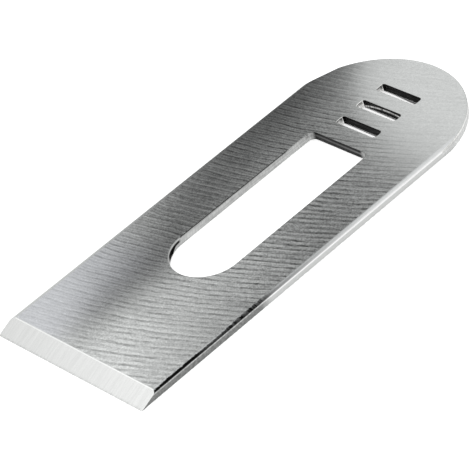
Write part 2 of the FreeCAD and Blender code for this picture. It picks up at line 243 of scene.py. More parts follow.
def box_distance(x, y, half_x, low_y, high_y, corner):
    """How far a point lies outside a rounded box."""
    qx = np.abs(x) - half_x + corner
    qy = np.abs(y - (low_y + high_y) / 2) - (high_y - low_y) / 2 + corner
    outside = np.hypot(np.maximum(qx, 0), np.maximum(qy, 0))
    return outside + np.minimum(np.maximum(qx, qy), 0) - corner


def rim_distance(x, y):
    """How far a point of the steel lies from the nearest punched rim: a slot's or the head's."""
    slot = box_distance(x, y, SLOT_HALF, SLOT_END - SLOT_LENGTH, SLOT_END, SLOT_CORNER)
    slot = np.where(y < SLOT_ROUND_Y, np.hypot(x, y - SLOT_ROUND_Y) - SLOT_HALF, slot)
    nearest = np.where(y > HEAD_Y, HALF - np.hypot(x, y - HEAD_Y), HALF)
    lean = (x - shoulder_foot[0]) * shoulder_run[1] - (y - shoulder_foot[1]) * shoulder_run[0]
    nearest = np.minimum(nearest, np.where(y > HEAD_Y, lean, HALF))
    nearest = np.minimum(nearest, slot)
    for middle in CROSS_YS:
        low_y, high_y = middle - CROSS_WIDTH / 2, middle + CROSS_WIDTH / 2
        nearest = np.minimum(nearest, box_distance(x, y, CROSS_HALF, low_y, high_y, CROSS_CORNER))
    return nearest


def rim_height(x, y):
    """A quarter circle at each punched rim: z = T - r + sqrt(r^2 - (r - d)^2) at a distance d from it."""
    d = np.clip(rim_distance(x, y), 0, RIM_RADIUS)
    return THICK - RIM_RADIUS + np.sqrt(RIM_RADIUS**2 - (RIM_RADIUS - d) ** 2)


def top_height(x, y):
    """The lowest of the four surfaces."""
    return np.minimum(np.minimum(rolled_height(x), bevel_height(y)), rim_height(x, y))


def bottom_height(x, y):
    """Flat, but for a quarter circle along each side, never as high as the top."""
    d = np.clip(HALF - np.abs(x), 0, BACK_RADIUS)
    rise = BACK_RADIUS - np.sqrt(BACK_RADIUS**2 - (BACK_RADIUS - d) ** 2)
    return np.minimum(rise, np.maximum(top_height(x, y) - LEAST_STEEL, 0))


print("ridge %.3f mm below the face" % (THICK - float(rolled_height(np.array([HALF]))[0])))

# %% [markdown]
# ## One plan for both faces
#
# The plan's points are the outlines, their parallel lines inside the steel, and the lines where one
# surface meets the next. Blender's constrained Delaunay call joins them into triangles that follow every
# one of these lines, and the triangles inside a hole are left out.

# %% Triangles of the plan
SIDE_LINES = [0.004, 0.02, 0.05, 0.085, 0.12, 0.15, 0.22, 0.32, 0.45, 0.6, 0.78, 1.0, 1.04]
HOLE_LINES = [0.006, 0.025, 0.055, 0.09, 0.12, 0.16]
EASE_LINES, BESIDE_EASE, PAST_SIDE = 5, 0.05, 0.2
BEVEL_SPAN, BEVEL_SAMPLES, CREASE_POINTS = 8, 4001, 25
JUST_UNDER, PLAN_WELD, LEAST_AREA = 1e-6, 1e-5, 1e-9

points, edges, faces = [], [], []


def add_line(line, closed=False, is_face=False):
    """Adds a line's points to the plan and its segments to the edges, or its loop to the faces."""
    first = sum(len(p) for p in points)
    count = len(line)
    points.append(line)
    here = np.arange(first, first + count)
    if is_face:
        faces.append(here.tolist())
        return
    following = np.roll(here, -1) if closed else here[1:]
    edges.extend(np.stack([here if closed else here[:-1], following], 1).tolist())


add_line(np.concatenate([side_and_head, front]), is_face=True)
for hole in holes:
    add_line(hole[::-1], is_face=True)
side_normals = outward(side_and_head, closed=False)
for d in SIDE_LINES:
    add_line(side_and_head - d * side_normals)
for hole in holes:
    for d in HOLE_LINES:
        add_line(hole - d * outward(hole, closed=True), closed=True)

ys = np.linspace(EDGE_Y, EDGE_Y + BEVEL_SPAN, BEVEL_SAMPLES)
hs = bevel_height(ys)
plane_top = THICK - BEVEL_EASE * (1 - math.cos(BEVEL_ANGLE))
ease_start = ys[np.argmax(hs > plane_top - JUST_UNDER)]
ease_end = ys[np.argmax(hs > THICK - JUST_UNDER)]
beside_ease = [ease_end + BESIDE_EASE, ease_start - BESIDE_EASE]
for y in list(np.linspace(ease_start, ease_end, EASE_LINES)) + beside_ease:
    add_line(straight_points((-HALF - PAST_SIDE, y), (HALF + PAST_SIDE, y), FRONT_STEP))
xs = np.linspace(HALF - ROLL_REACH, HALF, CREASE_POINTS)
crease = np.stack([xs, np.interp(rolled_height(xs), hs[hs < THICK], ys[hs < THICK])], 1)
add_line(crease)
add_line(crease * (-1, 1))

plan_points = np.concatenate(points)
vectors = [Vector(p) for p in plan_points.tolist()]
joined_points, _, joined_faces, _, _, owners = delaunay_2d_cdt(vectors, edges, faces, 0, PLAN_WELD)
plan = np.array([v[:] for v in joined_points])
triangles = np.array([face for face, owner in zip(joined_faces, owners) if owner == [0]])
a, b, c = (plan[triangles[:, k]] for k in range(3))
area = np.cross(b - a, c - a)
triangles[area < 0] = triangles[area < 0][:, ::-1]
triangles = triangles[np.abs(area) > LEAST_AREA]
used = np.unique(triangles)
renumber = np.zeros(len(plan), int)
renumber[used] = np.arange(len(used))
plan, triangles = plan[used], renumber[triangles]
print("plan of %d points and %d triangles" % (len(plan), len(triangles)))

# %% [markdown]
# ## From the plan to a closed mesh
#
# Every plan point is used twice, once at the height of the top and once at the height of the bottom. The
# triangle edges that belong to one triangle only are the rims, and each of them gets a small stack of
# wall faces. Each face is told which kind of surface it is, because a wheel, a roller and a punch leave
# different steel behind.

# %% The iron's mesh
WALL_LEVELS = np.array([0.0, 0.25, 0.5, 0.75, 1.0])
FACE, BEVEL, ROLLED, PUNCHED, BACK = range(5)
SHARP_ABOVE = math.radians(21)
ON_LINE = 0.01

x, y = plan.T
top, bottom = top_height(x, y), bottom_height(x, y)
half_edges = np.concatenate([triangles[:, [0, 1]], triangles[:, [1, 2]], triangles[:, [2, 0]]])
codes = half_edges[:, 0] * len(plan) + half_edges[:, 1]
twins = half_edges[:, 1] * len(plan) + half_edges[:, 0]
rims = half_edges[~np.isin(codes, twins)]

rim_points = np.unique(rims)
place = np.full(len(plan), -1)
place[rim_points] = np.arange(len(rim_points))
inner_levels = WALL_LEVELS[1:-1]
stack = bottom[rim_points] + inner_levels[:, None] * (top - bottom)[rim_points]
wall_points = [np.stack([x[rim_points], y[rim_points], z], 1) for z in stack]
vertices = np.concatenate([np.stack([x, y, top], 1), np.stack([x, y, bottom], 1)] + wall_points)


def level_index(point, level):
    """The vertex of a rim point at a wall level: the bottom's, one of the stack's, or the top's."""
    if level == 0:
        return point + len(plan)
    if level == len(WALL_LEVELS) - 1:
        return point
    return place[point] + 2 * len(plan) + (level - 1) * len(rim_points)


walls = []
for level in range(len(WALL_LEVELS) - 1):
    start, end = rims.T
    walls.append(np.stack([level_index(start, level), level_index(end, level),
                           level_index(end, level + 1), level_index(start, level + 1)], 1))
walls = np.concatenate(walls)

middles = plan[triangles].mean(1)
mx, my = middles.T
kind = np.full(len(triangles), FACE)
kind[rim_distance(mx, my) < RIM_RADIUS] = PUNCHED
kind[np.abs(mx) > HALF - ROLL_REACH] = ROLLED
kind[(rim_distance(mx, my) < RIM_RADIUS) & (my > HEAD_Y)] = PUNCHED
kind[bevel_height(my) < np.minimum(rolled_height(mx), THICK - 1e-4)] = BEVEL
wx, wy = plan[rims].mean(1).T
wall_kind = np.full(len(rims), PUNCHED)
wall_kind[(np.abs(np.abs(wx) - HALF) < ON_LINE) & (wy < HEAD_Y)] = ROLLED
wall_kind[wy < EDGE_Y + ON_LINE] = BEVEL
back_kind = np.full(len(triangles), BACK)
kinds = np.concatenate([kind, back_kind] + [wall_kind] * (len(WALL_LEVELS) - 1))


def mesh_from(name, vertices, triangles, quads, kinds):
    """A mesh in metres from triangles and quads, sharp where neighbours turn by more than the limit."""
    mesh = bpy.data.meshes.new(name)
    corners = np.concatenate([triangles.ravel(), quads.ravel()]).astype(np.int32)
    sizes = np.concatenate([np.full(len(triangles), 3), np.full(len(quads), 4)])
    mesh.vertices.add(len(vertices))
    mesh.vertices.foreach_set("co", (vertices * MM).astype(np.float32).ravel())
    mesh.loops.add(len(corners))
    mesh.loops.foreach_set("vertex_index", corners)
    mesh.polygons.add(len(sizes))
    mesh.polygons.foreach_set("loop_start", (np.cumsum(sizes) - sizes).astype(np.int32))
    mesh.polygons.foreach_set("material_index", kinds.astype(np.int32))
    mesh.update(calc_edges=True)
    mesh.validate()
    mesh.shade_smooth()
    mesh.set_sharp_from_angle(angle=SHARP_ABOVE)
    return mesh


both_faces = np.concatenate([triangles, triangles[:, ::-1] + len(plan)])
iron_mesh = mesh_from("plane_iron_surface", vertices, both_faces, walls, kinds)
iron = bpy.data.objects.new("plane_iron_surface", iron_mesh)
bpy.context.scene.collection.objects.link(iron)
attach(iron, "root")
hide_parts("plane_iron")
print("mesh of %d faces, kinds" % len(kinds), np.bincount(kinds).tolist())

# %% [markdown]
# ## Writing materials as short lines
#
# A material is a graph of nodes, and one helper adds every kind of them: it takes the node's kind, with its
# operation after a dot, and what goes into the node's inputs. Another helper turns a colour as a painter
# writes it into the linear numbers that the renderer needs. All the rest is the recipe of a surface.

# %% Helpers for materials
SOFT = {"interpolation_type": "SMOOTHSTEP"}


def linear(code):
    """The linear colour of an sRGB hex code: ((c + 0.055) / 1.055) ** 2.4 above 0.04045, c / 12.92 below."""
    srgb = [int(code[i:i + 2], 16) / 255 for i in (1, 3, 5)]
    return tuple(((c + 0.055) / 1.055) ** 2.4 if c > 0.04045 else c / 12.92 for c in srgb) + (1.0,)


def add_node(tree, kind, *values, inputs=None, **settings):
    """Adds a node of a kind such as "Mix" or "Math.ADD" and gives it its settings. The values then go to the
    inputs that it shows, in their order, and a dict gives inputs by name. A value is a number, a vector, a
    colour, an output of another node, or a whole node, which stands for the first output that it shows."""
    kind, _, operation = kind.partition(".")
    node = tree.nodes.new("ShaderNode" + kind)
    if operation:
        node.operation = operation
    for name, value in settings.items():
        setattr(node, name, value)
    shown = [socket for socket in node.inputs if socket.enabled]
    named = [(node.inputs[name], value) for name, value in (inputs or {}).items()]
    for socket, value in list(zip(shown, values)) + named:
        if isinstance(value, bpy.types.Node):
            value = next(output for output in value.outputs if output.enabled)
        if isinstance(value, bpy.types.NodeSocket):
            tree.links.new(value, socket)
        else:
            socket.default_value = value
    return node


def new_material(name):
    """An empty material, and the call that adds a node to it."""
    material = bpy.data.materials.new(name)
    material.use_nodes = True
    material.node_tree.nodes.clear()
    return material, partial(add_node, material.node_tree)


def place_in_mm(add):
    """The point's own place on the iron in millimetres, as one vector and as its three numbers."""
    place = add("VectorMath.SCALE", add("TexCoord").outputs["Object"], 1 / MM)
    return [place] + list(add("SeparateXYZ", place).outputs)


def soft_span(add, value, rise, fall, height=1.0):
    """Nought outside a span of the value and `height` inside it, with soft ends."""
    return add("Math.MULTIPLY", add("MapRange", value, *rise, **SOFT),
               add("MapRange", value, *fall, height, 0.0, **SOFT))


def bare_metal(add, inputs, height, depth):
    """The end of each steel's recipe: a plain metal, raised by the height times the depth in metres."""
    bump = add("Bump", inputs={"Height": height, "Distance": depth, "Strength": 1.0})
    metal = add("BsdfPrincipled", inputs={"Metallic": 1.0, "Normal": bump, **inputs})
    add("OutputMaterial", metal)


print("soft ranges:", SOFT["interpolation_type"], "and white is", linear("#ffffff"))

# %% [markdown]
# ## The ground face
#
# The broad faces of a plane iron are finished on a surface grinder with a large cup wheel. Its stone
# sweeps over the steel in wide arcs, and the lines it leaves are the first thing one sees: they are parts
# of circles, nearly one and a half millimetres apart, and they grow and fade as the wheel bites.
#
# Three things make that finish here. The steel itself is a plain metal. The grinding makes it rougher
# across the lines than along them, which is what anisotropy means, and its direction is worked out for
# every point from the wheel's circle. The lines are heights of about a thousandth of a millimetre, so they
# light up or go dark with the reflections around them, as real ones do, and a groove is a little darker,
# because it shades itself. Worked out from the wheel, they hold from every side.

# %% Grinding arcs
WHEEL_RADIUS = 132.0
WHEEL_X = -39.0
LINE_PITCH = 1.45
NOISE_START = 97.0
STEEL = linear("#cacccb")


def wheel_circle(add, x, y):
    """The wheel's circle through each point. With s = (x - cx) / R and c = sqrt(1 - s^2), the place along it
    is R s, counted from where the noise starts, the place across is y + R c, and the way across (-s, c)."""
    sine = add("Math.DIVIDE", add("Math.SUBTRACT", x, WHEEL_X), WHEEL_RADIUS)
    cosine = add("Math.SQRT", add("Math.SUBTRACT", 1.0, add("Math.MULTIPLY", sine, sine)))
    along = add("Math.MULTIPLY_ADD", sine, WHEEL_RADIUS, NOISE_START)
    across = add("Math.ADD", y, add("Math.MULTIPLY", cosine, WHEEL_RADIUS))
    way = add("CombineXYZ", add("Math.MULTIPLY", sine, -1.0), cosine)
    way = add("VectorTransform", way, vector_type="VECTOR", convert_from="OBJECT", convert_to="WORLD")
    return along, across, way


def arc_noise(add, along, across, length, width, detail, roughness):
    """Noise drawn out along the wheel's arcs: about `length` mm along them and `width` mm across."""
    drawn = add("CombineXYZ", add("Math.DIVIDE", along, length), add("Math.DIVIDE", across, width))
    return add("TexNoise", drawn, 1.0, detail, roughness)


def grinding_lines(add, x, along, across):
    """Dark grooves of a steady pitch that wander and fade, with a fainter set at half the pitch, then broad
    waves, then fine scratches. Each is about nought on average, so the steel keeps its mean tone. The
    scratches are 0.4 mm wide, several times the real ones, so that they still show in a small picture."""
    wander = add("Math.SUBTRACT", arc_noise(add, along, across, 9.0, 6.0, 3.0, 0.6), 0.5)
    wandered = add("Math.MULTIPLY_ADD", wander, 0.9 * LINE_PITCH, across)
    turns = add("Math.MULTIPLY", wandered, 2 * math.pi / LINE_PITCH)
    groove = add("MapRange", add("Math.SINE", turns), -0.3, 0.9, **SOFT)
    strength = arc_noise(add, along, across, 4.8, 1.5, 2.0, 0.6)
    strength = add("MapRange", strength, 0.31, 0.69, 0.0, 1.45, **SOFT)
    grooves = add("Math.MULTIPLY", add("Math.SUBTRACT", 0.42, groove), strength)
    second = add("Math.SINE", add("Math.MULTIPLY_ADD", turns, 2.03, 1.0))
    second = add("Math.MULTIPLY", second, add("MapRange", x, -16.0, 4.0, 0.46, 0.12, **SOFT))
    grooves = add("Math.ADD", second, grooves)
    grooves = add("Math.MULTIPLY", grooves, add("MapRange", x, -16.0, 4.0, 0.76, 1.0, **SOFT))
    waves = add("Math.SUBTRACT", arc_noise(add, along, across, 16.0, 1.8, 3.0, 0.6), 0.5)
    scratches = add("Math.SUBTRACT", arc_noise(add, along, across, 1.5, 0.42, 3.0, 0.7), 0.5)
    return grooves, waves, scratches


def wheel_bite(add, x, y):
    """How deep the wheel cut: full on the legs beside the long slot, less in front, least at the head."""
    squares = [add("Math.POWER", add("Math.SUBTRACT", value, least), 2.0)
               for value, least in ((x, 34.5), (y, HEAD_Y + 49.0))]
    from_least = add("Math.SQRT", add("Math.ADD", *squares))
    bite = add("MapRange", from_least, 52.0, 74.0, 0.06, 1.0, **SOFT)
    bite = add("Math.MULTIPLY", bite, add("MapRange", y, EDGE_Y + 22, EDGE_Y + 46, 0.56, 1.0, **SOFT))
    bite = add("Math.MULTIPLY", bite, add("MapRange", x, -14.0, 0.0, 0.9, 1.12, **SOFT))
    corner = add("Math.MULTIPLY_ADD", x, 1.8, y)
    return add("Math.MULTIPLY", bite, add("MapRange", corner, EDGE_Y - 24, EDGE_Y + 8, 0.42, 1.0, **SOFT))


def ground_face(name):
    """Surface-ground tool steel: its lines tell the eye how large the wheel is and how flat the face. In
    front on the left it is a little bluer."""
    material, add = new_material(name)
    place, x, y, _ = place_in_mm(add)
    along, across, way = wheel_circle(add, x, y)
    grooves, waves, scratches = grinding_lines(add, x, along, across)
    bite = wheel_bite(add, x, y)

    grain = add("Math.SUBTRACT", add("TexNoise", place, 3.6, 2.0, 0.7), 0.5)
    soft = add("Math.MULTIPLY_ADD", scratches, 1.2, add("Math.MULTIPLY", waves, 0.9))
    soft = add("Math.MULTIPLY_ADD", grain, 3.5, soft)
    pattern = add("Math.MULTIPLY", add("Math.MULTIPLY_ADD", scratches, 0.8, grooves), bite)
    pattern = add("Math.MULTIPLY_ADD", soft, add("Math.MAXIMUM", bite, 0.26), pattern)
    shade = add("Math.MULTIPLY_ADD", pattern, 0.62, 1.0)
    bluish = add("Math.MULTIPLY", add("MapRange", x, -12.0, -2.0, 1.0, 0.0, **SOFT),
                 add("MapRange", y, EDGE_Y + 24, EDGE_Y + 40, 1.0, 0.0, **SOFT))
    tint = add("Mix", bluish, STEEL, linear("#c8cacd"), data_type="RGBA")

    height = add("Math.MULTIPLY_ADD", waves, 0.0030, add("Math.MULTIPLY", scratches, 0.0004))
    height = add("Math.MULTIPLY", add("Math.MULTIPLY_ADD", grooves, 0.0010, height), bite)
    colour = add("VectorMath.SCALE", tint, shade)
    look = {"Base Color": colour, "Roughness": 0.16, "Anisotropic": 0.8, "Tangent": way}
    bare_metal(add, look, height, MM)
    return material


face_steel = ground_face("ground_face_steel")
print("ground face: lines every %.2f mm on circles of %.0f mm" % (LINE_PITCH, WHEEL_RADIUS))

# %% [markdown]
# ## The bevel
#
# The bevel is ground last, on a finer wheel that runs across the edge, so its lines are short, straight and
# close together. Noise that is stretched along them is enough here. The tone is a little darker in broken
# dashes along the very edge, and a painted highlight, a lighter line in the colour, runs where the bevel is
# eased into the face.

# %% Bevel steel
def bevel_metal(name):
    """Finely ground tool steel: a closer grain than the face's tells the eye that this is another plane.
    The lines are about 0.4 mm apart, which is coarser than a fine wheel leaves them."""
    material, add = new_material(name)
    place, x, y, _ = place_in_mm(add)
    broad = add("TexNoise", x, 0.75, 3.0, 0.75, noise_dimensions="1D")
    fine = add("TexNoise", add("VectorMath.MULTIPLY", place, (2.6, 0.25, 0.0)), 1.0, 3.0, 0.7)
    lines = add("Math.MULTIPLY_ADD", fine, 0.5, add("Math.MULTIPLY", broad, 0.5))
    shade = add("MapRange", lines, 0.3, 0.7, 0.94, 1.05, **SOFT)
    # Darker in broken dashes along the very edge.
    edge_dashes = add("TexNoise", x, 1.3, 3.0, 0.7, noise_dimensions="1D")
    edge_dashes = add("MapRange", edge_dashes, 0.4, 0.6, 0.03, 0.2, **SOFT)
    at_edge = add("MapRange", y, EDGE_Y + 0.12, EDGE_Y + 0.5, 1.0, 0.0, **SOFT)
    shade = add("Math.SUBTRACT", shade, add("Math.MULTIPLY", at_edge, edge_dashes))
    # Painted highlight: the colour is lighter along the line where the bevel is eased into the face.
    eased = add("MapRange", y, EDGE_Y + 4.14, EDGE_Y + 4.22, 0.0, 0.22, **SOFT)
    colour = add("VectorMath.SCALE", linear("#cbcccb")[:3], add("Math.ADD", shade, eased))
    level = add("CombineXYZ", 1.0)
    look = {"Base Color": colour, "Roughness": 0.2, "Anisotropic": 0.5, "Tangent": level}
    bare_metal(add, look, lines, 0.0006 * MM)
    return material


bevel_steel = bevel_metal("bevel_steel")
print("bevel steel of", len(bevel_steel.node_tree.nodes), "nodes")

# %% [markdown]
# ## The rolled edges
#
# The long edges were never ground: they keep the rolled skin of the strip. Its ridge is painted lighter, a
# painted highlight on top of the light that its small radius catches, and it shows as a thin bright line. On
# the right, the slope is painted lighter than the upright side below it, as painted light. Near the cutting
# end, where the iron was hardened, the right edge still has black scale on its slope. Scale breaks off in
# flakes, so its outline is ragged and its black is chipped, and in the middle of its length it is worn thin.
# A painted picture could show that, but here the place across the edge decides, so the scale keeps to the
# true slope.

# %% Rolled steel and hardening scale
SCALE_END_Y = EDGE_Y + 32.5
RIDGE_HIGHLIGHT = linear("#e6e6e6")


def scale_on_slope(add, x, y, zone):
    """How black the rolled slope is: its width across the edge is ragged, flakes are missing from it, and it
    is narrower and paler where it is worn."""
    worn = soft_span(add, y, (EDGE_Y + 15, EDGE_Y + 18.5), (EDGE_Y + 21.5, EDGE_Y + 24))
    ragged = add("TexNoise", y, 1.1, 4.0, 0.7, noise_dimensions="1D")
    across = add("Math.MULTIPLY_ADD", add("Math.SUBTRACT", ragged, 0.5), 0.8, x)
    tapered = add("MapRange", y, SCALE_END_Y - 10, SCALE_END_Y - 4, 0.0, 0.22, **SOFT)
    across = add("Math.MULTIPLY_ADD", worn, -0.16, add("Math.ADD", across, tapered))
    across = add("Math.ADD", across, add("MapRange", y, EDGE_Y + 5.5, EDGE_Y + 8, -0.04, 0.09, **SOFT))
    slope = add("Math.MULTIPLY", add("MapRange", across, HALF - 0.72, HALF - 0.52, **SOFT),
                add("MapRange", x, HALF - 0.16, HALF - 0.07, 1.0, 0.0, **SOFT))
    chipped = add("TexNoise", y, 0.9, 3.0, 0.7, noise_dimensions="1D")
    chipped = add("MapRange", chipped, 0.4, 0.6, 1.0, 0.7, **SOFT)
    sound = add("MapRange", y, SCALE_END_Y - 12, SCALE_END_Y - 5, 1.0, 0.0, **SOFT)
    chipped = add("Math.MAXIMUM", chipped, sound)
    chipped = add("Math.MULTIPLY", chipped, add("Math.MULTIPLY_ADD", worn, -0.25, 1.0))
    return add("Math.MULTIPLY", add("Math.MULTIPLY", slope, zone), chipped)


def rolled_metal(name):
    """The strip's rolled skin: a soft metal with a painted highlight on its ridge and, on the right, painted
    light that makes the slope lighter than the side below. Near the cutting end on the right it has black
    scale on its slope and a duller grey below, which tell the eye how far the iron was hardened. The grain
    is about
    0.7 mm, coarser than a real skin's."""
    material, add = new_material(name)
    place, x, y, z = place_in_mm(add)
    grain = add("TexNoise", place, 1.5, 4.0, 0.7)
    wavy = add("Math.SUBTRACT", add("TexNoise", y, 0.55, 4.0, 0.65, noise_dimensions="1D"), 0.5)
    side = add("Math.GREATER_THAN", x, 0.0)
    slanted = add("Math.MULTIPLY_ADD", z, -2.0, add("Math.MULTIPLY_ADD", wavy, 2.0, y))
    zone = add("MapRange", slanted, SCALE_END_Y - 4, SCALE_END_Y + 2, 1.0, 0.0, **SOFT)
    zone = add("Math.MULTIPLY", zone, side)
    side_zone = add("Math.ADD", y, wavy)
    side_zone = add("MapRange", side_zone, SCALE_END_Y - 0.5, SCALE_END_Y + 3.5, 1.0, 0.0, **SOFT)
    side_zone = add("Math.MULTIPLY", side_zone, side)

    upright = add("MapRange", z, THICK - 0.52, THICK - 0.4, 1.0, 0.0, **SOFT)
    low = add("MapRange", z, THICK - 0.6, THICK - 0.42, 1.0, 0.0, **SOFT)
    on_ridge = add("MapRange", add("Math.ABSOLUTE", x), HALF - 0.3, HALF - 0.16, **SOFT)
    on_ridge = add("Math.MULTIPLY", on_ridge, add("MapRange", z, THICK - 0.6, THICK - 0.45, **SOFT))
    # Painted highlight: the ridge is painted lighter, and duller near the cutting end on the right.
    ridge = add("Mix", side_zone, RIDGE_HIGHLIGHT, linear("#b0b1b0"), data_type="RGBA")
    # Painted light: on the right, the slope and the top of the side are lighter than the side below.
    right = add("Mix", low, linear("#d2d4d4"), linear("#c2c3c2"), data_type="RGBA")
    rolled = add("Mix", side, STEEL, right, data_type="RGBA")
    plain = add("Mix", on_ridge, rolled, ridge, data_type="RGBA")
    dull = add("Math.MULTIPLY", upright, side_zone)
    grey = add("Mix", dull, plain, linear("#7d7e7d"), data_type="RGBA")
    scaled = scale_on_slope(add, x, y, zone)
    black = add("Mix", scaled, grey, linear("#1c1c1c"), data_type="RGBA")

    blotches = add("Math.SUBTRACT", grain, 0.5)
    blotches = add("Math.MULTIPLY", blotches, add("Math.MULTIPLY_ADD", zone, 1.8, 0.2))
    colour = add("VectorMath.SCALE", black, add("Math.ADD", blotches, 1.0))
    bare_metal(add, {"Base Color": colour, "Roughness": 0.25}, grain, 0.002 * MM)
    return material


rolled_steel = rolled_metal("rolled_edge_steel")
print("hardening scale up to %.1f mm from the cutting edge" % (SCALE_END_Y - EDGE_Y))

# %% [markdown]
# ## The punched walls
#
# The walls of the slots were cut by a punch. It shears the steel, drags it along and leaves a burr. Walls
# along the iron catch the light. Walls across it look away from every light, and that shade is painted into
# their colour as nearly black, as is a dark crescent on the long slot's round end. A metal can't be black at
# a flat angle, because it mirrors the pale floor there, so the edge tint of the painted-dark walls is
# lowered too. What the punch has dragged shows as lighter marks: a torn streak in the middle cross slot, a
# band on the long slot's square end, and the light rim over the crescent on its round end. Painted
# highlights make the ends of the cross slots near white and a band under the head's rim lighter.

# %% Punched steel
NEAR_SLOT_END = (SLOT_END - 8, SLOT_END - 4)


def rim_reach(add, x, y):
    """The distance from the head's centre: sqrt(x^2 + (y - HEAD_Y)^2) beyond it, and |x| before it."""
    beyond = add("Math.MAXIMUM", add("Math.SUBTRACT", y, HEAD_Y), 0.0)
    squares = [add("Math.MULTIPLY", v, v) for v in (x, beyond)]
    return add("Math.SQRT", add("Math.ADD", *squares))


def painted_wall_shade(add, y, z, curve):
    """How much painted shade a wall gets: one where a wall lies across the iron, nought where it runs along
    it.
    The corners between are darker towards the top, and lighter from the long slot's square end on, most of
    all in the middle cross slot."""
    steep = add("MapRange", y, *NEAR_SLOT_END, 0.45, 0.12, **SOFT)
    turned = add("Math.MULTIPLY_ADD", add("Math.SUBTRACT", z, 0.9), steep, curve)
    turned = add("Math.SUBTRACT", turned, add("MapRange", y, *NEAR_SLOT_END, 0.0, 0.12, **SOFT))
    in_middle = add("Math.COMPARE", y, CROSS_YS[1], CROSS_WIDTH)
    return add("MapRange", add("Math.MULTIPLY_ADD", in_middle, -0.16, turned), 0.24, 0.42, **SOFT)


def dragged_streak(add, x, y, z):
    """The torn streak on the middle cross slot's far wall, about the curve z = 1.15 - 0.02 (x - 1.5)^2."""
    from_peak = add("Math.POWER", add("Math.SUBTRACT", x, 1.5), 2.0)
    off_streak = add("Math.SUBTRACT", z, add("Math.MULTIPLY_ADD", from_peak, -0.02, 1.15))
    off_streak = add("Math.ABSOLUTE", off_streak)
    torn = add("TexNoise", x, 1.1, 4.0, 0.75, noise_dimensions="1D")
    streak = add("Math.MULTIPLY", add("MapRange", off_streak, 0.08, 0.3, 1.0, 0.0, **SOFT),
                 add("MapRange", torn, 0.36, 0.56, 0.1, 0.8, **SOFT))
    return add("Math.MULTIPLY", streak, add("Math.COMPARE", y, CROSS_YS[1] + CROSS_WIDTH / 2, 0.4))


def painted_shade_crescent(add, z, curve):
    """The painted shade of a dark crescent on the long slot's round end: it begins thin where the straight
    wall starts to turn, grows downwards with the square of the turn, and ends before the very front, under a
    light rim."""
    lift = add("Math.POWER", add("Math.MAXIMUM", add("Math.SUBTRACT", curve, 0.15), 0.0), 2.0)
    crescent = add("MapRange", add("Math.MULTIPLY_ADD", lift, 16.0, z), 0.6, 0.95, **SOFT)
    for limit in (add("MapRange", z, 1.22, 1.52, 1.0, 0.0, **SOFT),
                  add("MapRange", curve, 0.0, 0.08, **SOFT),
                  add("MapRange", curve, 0.62, 0.74, 1.0, 0.0, **SOFT)):
        crescent = add("Math.MULTIPLY", crescent, limit)
    return crescent


def burnished_marks(add, x, y, z, dragged):
    """How far the punch has rubbed the painted-dark walls grey: faint lines, and a band on the square end.
    """
    band = add("Math.ABSOLUTE", add("Math.SUBTRACT", z, 1.05))
    band = add("MapRange", band, 0.06, 0.36, 1.0, 0.0, **SOFT)
    band = add("Math.MULTIPLY", band, add("Math.COMPARE", y, SLOT_END, 0.3))
    band = add("Math.MULTIPLY", band, add("MapRange", x, -3.0, 5.0, 0.42, 0.85, **SOFT))
    marks = add("Math.MULTIPLY_ADD", add("MapRange", dragged, 0.45, 0.65, **SOFT), 0.12, band)
    return add("Math.MULTIPLY", marks, add("MapRange", y, SLOT_END - 4, SLOT_END - 1, 0.1, 1.0, **SOFT))


